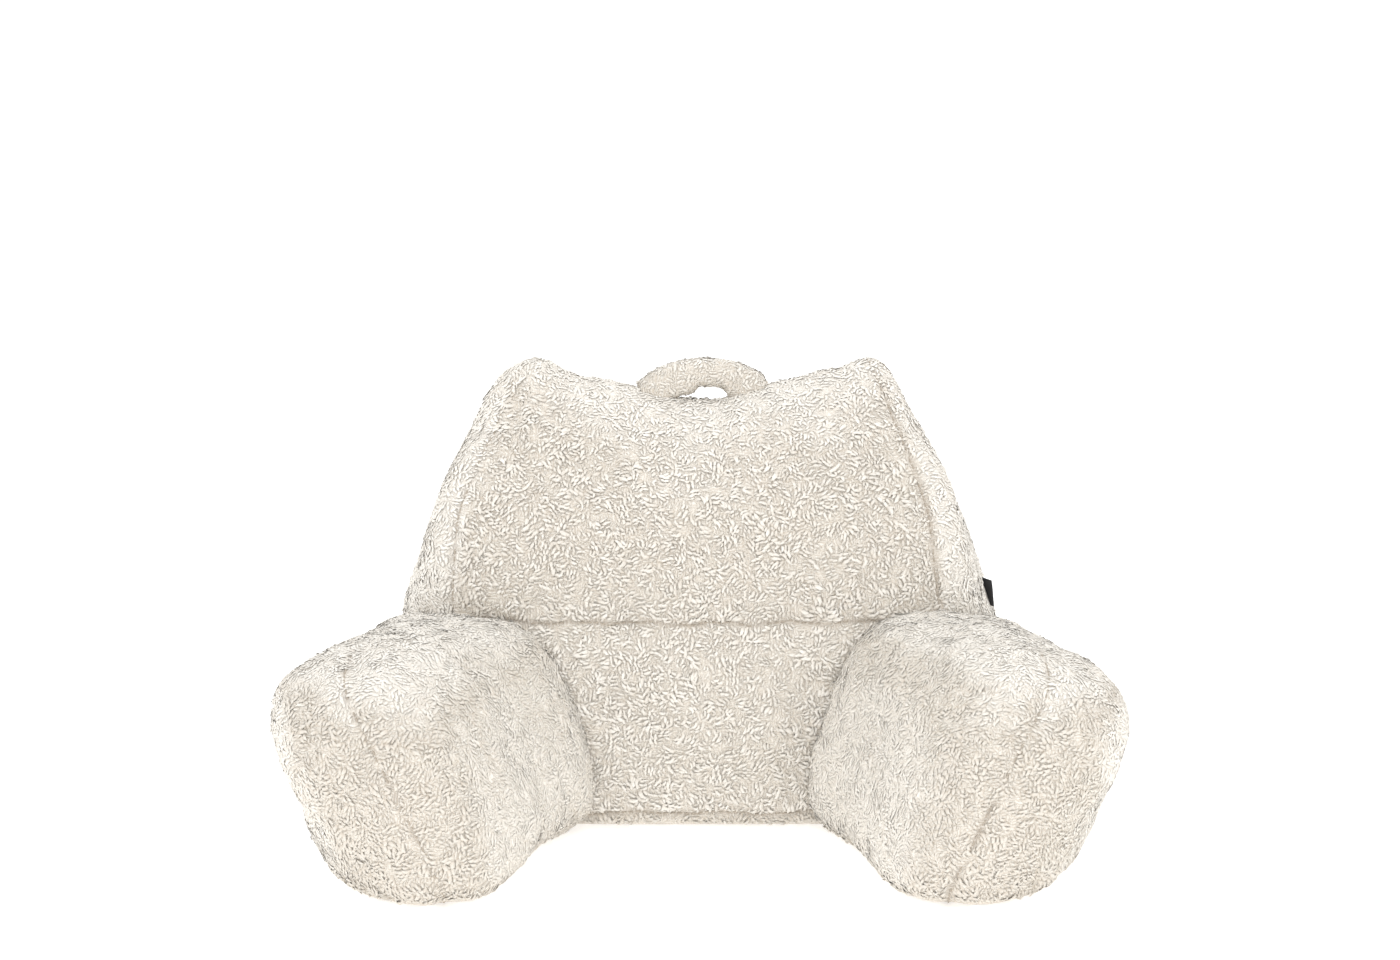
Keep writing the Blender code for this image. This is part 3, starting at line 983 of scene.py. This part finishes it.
def sides_and_tops(points, facing, part):
    """1 on the sides and the tops, where the locks lie flatter and get painted light. 0 on the
    fronts.
    """
    soft = np.maximum(ease(np.abs(facing[:, 0]), 0.5, 0.95), ease(facing[:, 2], 0.5, 0.9))
    if part == "loop":
        return np.maximum(soft, 0.5)
    if part != "back":
        return soft
    beyond = ease(np.abs(points[:, 0]) - edge_at(points, FRONT_SEAM_RIGHT), 0, 8 * MM)
    ears = ease(points[:, 2], 0.422, 0.447)
    return np.maximum(soft, 0.85 * np.maximum(beyond, ears))


def hollow(points, part):
    """1 low on the back between the arms, where less light comes, and half just above that."""
    if part != "back":
        return np.zeros(len(points))
    between = 1 - ease(np.abs(points[:, 0]), 0.19, 0.23)
    height = 1 - 0.5 * ease(points[:, 2], 0.19, 0.22) - 0.5 * ease(points[:, 2], 0.225, 0.27)
    return between * (points[:, 1] < 0.10) * height


def away_from_seam(spots, part):
    """The way straight off the nearest seam, at each point."""
    steps = np.eye(3) * 0.5 * MM
    slope = [seam_gap(spots + step, part) - seam_gap(spots - step, part) for step in steps]
    return unit(np.stack(slope, 1))


def near_label(spots):
    """How near each point is to the label: 1 at it, 0 clear of it."""
    out = np.array([math.cos(TAPE_TURN), math.sin(TAPE_TURN), 0])
    over = np.array([-math.sin(TAPE_TURN), math.cos(TAPE_TURN), 0])
    offset = spots - np.array(TAPE_ROOT)
    level = np.abs(offset[:, 2]) - TAPE_WIDTH / 2
    side = np.abs(offset @ over)
    beyond = np.maximum(offset @ out - TAPE_FOLD, -6 * MM - offset @ out)
    gap = np.maximum.reduce([level - 2 * MM, side - 4 * MM, beyond - 2 * MM])
    return 1 - ease(gap, 0, 5 * MM)


def plant(part, obj, spacing, seed, neighbours, tuft_seed):
    """Where the locks of one skin stand, and how each of them is."""
    on_back = part == "back"
    spots, facing = scatter(obj, part, spacing, seed)
    gap = seam_gap(spots, part)
    parted = parting(spots, part)
    keep = (facing[:, 2] > FACES_DOWN) | (spots[:, 2] > BARE_FLOOR)
    ragged = np.clip(0.7 + 0.6 * wander(spots, 14 * MM, seed + 8), 0, 1.3)
    keep &= gap > (BACK_PARTING if on_back else ARM_PARTING) * parted * ragged
    for tree, room in neighbours:
        keep &= depth_inside(spots, tree) < room
    if on_back:
        keep &= near_label(spots) < 0.9
    spots, facing, gap, parted = spots[keep], facing[keep], gap[keep], parted[keep]
    count = len(spots)
    draw = np.random.default_rng(seed + 50)
    turn, tint, crown, curl, inward = tufts_of(spots, tuft_seed + 9)
    lie = comb(spots, facing, turn, inward, tuft_seed)

    # At the seams, the locks lean away from the seam.
    near_seam = 1 - ease(gap, 1.0 * MM, 5 * MM)
    near_seam *= np.clip(0.7 + 0.35 * wander(spots, 18 * MM, seed + 7), 0.2, 1)
    near_seam *= parted
    away = along_skin(away_from_seam(spots, part), facing)
    lie = unit(lie * (1 - near_seam)[:, None] + away * (1.4 * near_seam)[:, None])

    # They are shorter there, and lie flatter on the sides and the tops and round the label.
    soft = sides_and_tops(spots, facing, part)
    size = np.clip(draw.normal(1.0, 0.17, count), 0.65, 1.35)
    size *= 1 - parted * (1 - np.clip((gap + 0.8 * MM) / (5.0 * MM), 0.45, 1.0))
    slim = np.clip(draw.normal(1.0, 0.15, count), 0.65, 1.4)
    lift = np.clip(draw.normal(1.0, 0.18, count), 0.5, 1.6) * (1 - 0.6 * soft)
    rise = TUFT_RISE * crown + draw.normal(0, 0.12 * MM, count)
    rise = rise * (1 - 0.55 * soft) + LOCK_RISE
    if on_back:
        low = near_label(spots)
        lift *= 1 - 0.4 * low
        rise -= 1.0 * MM * low
    else:
        rise *= 0.5
        lift *= 0.85
    opening = BACK_OPENING if on_back else ARM_OPENING
    spots = spots + facing * (rise * (1 - near_seam))[:, None]
    spots = spots + away * (opening * near_seam)[:, None]

    # Their tones: evener and paler on the sides and tops, as painted light, and deeper between the
    # tufts and at the seams, as painted shade.
    tinted = TUFT_TINT * tint + draw.normal(0, LOCK_TINT, count)
    tone = FRONT_TONE + tinted * (1 - 0.8 * soft)
    # Painted light low between the arms, where less light comes; painted shade at the seams.
    tone += SIDE_TOP_PAINTED_LIGHT * soft + HOLLOW_PAINTED_LIGHT * hollow(spots, part) - SEAM_PAINTED_SHADE * near_seam
    # Painted shade between the tufts, and painted light on their crowns.
    tone += TUFT_EDGE_PAINTED_SHADE * np.clip(crown - 0.4, -1, 0.25) * (1 - 0.6 * soft)
    if on_back:
        # Painted shade: deeper below the base seam, where the base panel turns under.
        tone -= BASE_PAINTED_SHADE * (1 - ease(spots[:, 2], 15 * MM, 19 * MM))
    else:
        # Painted shade: deeper on the arms' fronts, at their seams and on their inner sides.
        inner = np.clip(-facing[:, 0] * np.sign(spots[:, 0]), 0, 1)
        tone -= ARM_FRONT_PAINTED_SHADE * (1 - soft) + ARM_SEAM_PAINTED_SHADE * near_seam + INNER_ARM_PAINTED_SHADE * inner
    stray = draw.random(count) < STRAYS
    kind = np.where(stray, draw.integers(0, 2 * len(LOCK_CURVES), count), curl)
    return dict(zip(PLANTED, (spots, facing, lie, size, slim, lift, tone, kind)))


def share_out(planted, chosen):
    """The locks that belong to one piece of the pile."""
    return {key: value[chosen] for key, value in planted.items()}


# ---------- stitches


def front_depth(tree, x, z):
    """How far back the front panel's skin is at a place."""
    spot = tree.ray_cast(Vector((x, -1, z)), Vector((0, 1, 0)))[0]
    return spot.y if spot else 0.03


def front_line(tree, seam):
    """A seam across the front panel, laid on its skin."""
    return [(x, front_depth(tree, x, z), z) for x, _, z in seam if abs(x) < STITCHED_TO]


def stitch_pattern():
    """One stitch, lying along X: a short bar of thread whose ends go down into the cloth."""
    bpy.ops.object.select_all(action="DESELECT")
    bpy.ops.mesh.primitive_cylinder_add(
        vertices=5,
        radius=STITCH_RADIUS,
        depth=STITCH_LENGTH * 0.6,
        rotation=(0, math.pi / 2, 0),
    )
    obj = bpy.context.object
    bpy.ops.object.transform_apply(location=True, rotation=True, scale=True)
    bpy.ops.object.mode_set(mode="EDIT")
    for side in (-1, 1):
        select_end(obj, side, STITCH_LENGTH * 0.29)
        move = (side * STITCH_LENGTH * 0.2, 0, -STITCH_RADIUS)
        bpy.ops.mesh.extrude_region_move(TRANSFORM_OT_translate={"value": move})
        middle = (side * STITCH_LENGTH * 0.5, 0, -STITCH_RADIUS)
        bpy.ops.transform.resize(value=(0.4, 0.4, 0.4), center_override=middle)
    bpy.ops.object.mode_set(mode="OBJECT")
    mesh = obj.data
    points = points_of(mesh)
    faces = [tuple(polygon.vertices) for polygon in mesh.polygons]
    bpy.data.objects.remove(obj)
    return points, faces


def sew_along(name, lines, skin, beside, pattern, finish, showing=2.0):
    """Stitches laid along seams on a skin, in one mesh. Showing under 2 leaves out buried runs."""
    tree = tree_of(skin)
    points, faces = pattern
    all_points, all_faces = [], []
    for line in lines:
        line = np.array(line)
        steps = np.linalg.norm(np.diff(line, axis=0), axis=1)
        lengths = np.concatenate([[0], np.cumsum(steps)])
        for place in np.arange(STITCH_STEP / 2, lengths[-1], STITCH_STEP):
            here = np.array([np.interp(place, lengths, line[:, k]) for k in range(3)])
            ahead = np.array([np.interp(place + MM, lengths, line[:, k]) for k in range(3)])
            spot, facing, _, gap = tree.find_nearest(Vector(here))
            facing = np.array(facing)
            along = ahead - here
            along = along - facing * (along @ facing)
            at_spot = np.array([tuple(spot)])
            clear = all(depth_inside(at_spot, solid)[0] < -1 * MM for solid in beside)
            buried = math.sin(place / (14 * MM)) + math.sin(place / (5.1 * MM)) > showing
            if gap > 12 * MM or np.linalg.norm(along) < 0.2 * MM or not clear or buried:
                continue
            along = along / np.linalg.norm(along)
            across = np.cross(facing, along)
            base = len(all_points) * len(points)
            axes = np.stack([along, across, facing])
            all_points.append(np.array(spot) + facing * 0.2 * MM + points @ axes)
            all_faces += [tuple(base + index for index in face) for face in faces]
    mesh = bpy.data.meshes.new(name)
    mesh.from_pydata(np.concatenate(all_points).tolist(), [], all_faces)
    for polygon in mesh.polygons:
        polygon.use_smooth = True
    mesh.materials.append(finish)
    obj = set_out(name, mesh)
    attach(obj, "root")
    return obj


# ---------- label


def folded_label(finish):
    """A bare black tape, folded once, whose two ends are sewn into the rear seam."""
    bpy.ops.object.select_all(action="DESELECT")
    middle = (TAPE_START + TAPE_FIRST / 2, TAPE_APART, 0)
    bpy.ops.mesh.primitive_plane_add(size=1, location=middle, rotation=(math.pi / 2, 0, 0))
    tape = bpy.context.object
    tape.name = "side_label"
    tape.scale = (TAPE_FIRST, TAPE_WIDTH, 1)
    bpy.ops.object.transform_apply(location=True, rotation=True, scale=True)
    bpy.ops.object.mode_set(mode="EDIT")
    select_end(tape, 1, middle[0])
    end = TAPE_START + TAPE_FIRST
    path = [(x, TAPE_APART) for x in (end, *TAPE_STEPS)]
    for step in range(1, 6):
        turn = math.pi * step / 6
        path.append((TAPE_FOLD + TAPE_APART * math.sin(turn), TAPE_APART * math.cos(turn)))
    path += [(x, -TAPE_APART) for x in (*reversed(TAPE_STEPS), end, TAPE_START)]
    for here, there in zip(path[:-1], path[1:]):
        move = (there[0] - here[0], there[1] - here[1], 0)
        bpy.ops.mesh.extrude_region_move(TRANSFORM_OT_translate={"value": move})
    for share in (-0.3, -0.1, 0.1, 0.3):
        bpy.ops.mesh.select_all(action="SELECT")
        bpy.ops.mesh.bisect(plane_co=(0, 0, share * TAPE_WIDTH), plane_no=(0, 0, 1))
    bpy.ops.mesh.select_all(action="SELECT")
    bpy.ops.mesh.normals_make_consistent(inside=False)
    bpy.ops.object.mode_set(mode="OBJECT")
    apply_tool(tape, "cloth", "SOLIDIFY", {"thickness": TAPE_THICKNESS, "offset": 0})

    # The fold bows a little and the tape ripples. Then it is set in its seam.
    points = points_of(tape.data)
    share = points[:, 2] / (TAPE_WIDTH / 2)
    points[:, 0] -= 0.5 * MM * share**2 * ease(points[:, 0], 0, TAPE_FOLD)
    points[:, 1] += 0.25 * MM * np.sin(share * 2.2) * ease(points[:, 0], 0, TAPE_FOLD)
    out, over, up = points[:, 0:1], points[:, 1:2], points[:, 2:3]
    placed = np.array([TAPE_ROOT]) + out * [[math.cos(TAPE_TURN), math.sin(TAPE_TURN), 0]]
    placed = placed + over * [[-math.sin(TAPE_TURN), math.cos(TAPE_TURN), 0]]
    placed = placed + up * [[-math.sin(TAPE_TILT), 0, math.cos(TAPE_TILT)]]
    put_points(tape.data, placed)
    tape.data.materials.append(finish)
    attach(tape, "root")
    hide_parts("side_tab")


# ---------- lamps


def lamp(name, place, width, power):
    light = bpy.data.lights.new(name, "AREA")
    light.shape = "SQUARE"
    light.size = width
    light.energy = power
    obj = set_out(name, light)
    obj.location = place
    obj.rotation_euler = (Vector(LIT_PLACE) - Vector(place)).to_track_quat("-Z", "Y").to_euler()


# ---------- build

solids = {name: tree_of(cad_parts[name]) for name in ("back", "arm_left", "arm_right")}
arms = (solids["arm_left"], solids["arm_right"])

ground = backing_finish()
wool = pile_finish()

back = stuffed("back", "back", SKIN_MESH, PILE_DEPTH, None, arms)
arm_left = stuffed("arm_left", "arm_left", ARM_MESH, PILE_DEPTH, solids["back"])
arm_right = stuffed("arm_right", "arm_right", ARM_MESH, PILE_DEPTH, solids["back"])
loop = stuffed("carry_loop", "loop", LOOP_MESH, LOOP_PILE_DEPTH, solids["back"])

skins = ((back, "back"), (arm_left, "arm_left"), (arm_right, "arm_right"), (loop, "carry_loop"))
for skin, node in skins:
    skin.data.materials.append(ground)
    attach(skin, "root")
    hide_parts(node)

patterns = lock_patterns()

planted = plant("back", back, LOCK_SPACING, 101, [(arm, SKIN_ROOM) for arm in arms], 21)
spots = planted["spots"]
rear = spots[:, 1] > RIDGE_DEPTH
gusset_right = ~rear & (spots[:, 0] > edge_at(spots, FRONT_SEAM_RIGHT))
gusset_left = ~rear & (spots[:, 0] < edge_at(spots, FRONT_SEAM_LEFT))
front = ~rear & ~gusset_right & ~gusset_left
upper = spots[:, 2] > CROSS_HEIGHT
left = spots[:, 0] < 0
back_pieces = (
    ("pile_front_upper_left", front & upper & left),
    ("pile_front_upper_right", front & upper & ~left),
    ("pile_front_lower", front & ~upper),
    ("pile_gusset_left", gusset_left),
    ("pile_gusset_right", gusset_right),
    ("pile_rear_upper", rear & upper),
    ("pile_rear_lower", rear & ~upper),
)
for seed, (name, chosen) in enumerate(back_pieces, 201):
    sow(name, share_out(planted, chosen), patterns, seed, wool)

for arm, tag, seed in ((arm_left, "left", 111), (arm_right, "right", 121)):
    room = [(solids["back"], SKIN_ROOM)]
    planted = plant("arm_" + tag, arm, LOCK_SPACING, seed, room, seed + 1)
    outer = np.abs(planted["spots"][:, 0]) > ARM_PARTED_AT
    sow(f"pile_arm_{tag}_outer", share_out(planted, outer), patterns, seed + 2, wool)
    sow(f"pile_arm_{tag}_inner", share_out(planted, ~outer), patterns, seed + 3, wool)

planted = plant("loop", loop, LOOP_SPACING, 131, [(solids["back"], 0.0)], 132)
planted["size"] *= LOOP_LOCK_SIZE
sow("pile_loop", planted, patterns, 133, wool)

back_tree = tree_of(back)
pattern = stitch_pattern()
# The stitches' thread is coloured dark as painted shade in the seams.
thread = seam_shadow_thread_finish()
back_seams = [front_line(back_tree, cross_seam), front_left, front_right, rear_left, rear_right]
base_seams = [front_line(back_tree, base_seam)]
beside_arms = (solids["back"],)
sew_along("stitches_back", back_seams, back, arms, pattern, thread, 0.9)
sew_along("stitches_base", base_seams, back, arms, pattern, thread)
sew_along("stitches_arm_left", [nose_left], arm_left, beside_arms, pattern, thread, 0.4)
sew_along("stitches_arm_right", [nose_right], arm_right, beside_arms, pattern, thread, 0.4)

folded_label(label_finish())

# ---------- floor, light and camera

bpy.ops.object.select_all(action="DESELECT")
bpy.ops.mesh.primitive_plane_add(size=30, location=(0, 0, 0))
floor = bpy.context.object
floor.name = "floor"
floor.data.materials.append(floor_finish())

world = bpy.data.worlds.new("soft_room")
world.use_nodes = True
surroundings = world.node_tree.nodes["Background"]
surroundings.inputs["Color"].default_value = (1, 1, 1, 1)
surroundings.inputs["Strength"].default_value = ROOM_LIGHT
bpy.context.scene.world = world

for name, place, width, power in LAMPS:
    lamp(name, place, width, power)

bpy.context.scene.view_settings.view_transform = "Standard"

eye = bpy.data.cameras.new("eye")
eye.sensor_width = 36
eye.lens = EYE_LENS
camera = set_out("eye", eye)
camera.location = EYE_PLACE
look_down = math.atan2(EYE_PLACE[2] - AIM_HEIGHT, AIM_REACH)
camera.rotation_euler = (math.radians(90) - look_down, 0, 0)
bpy.context.scene.camera = camera
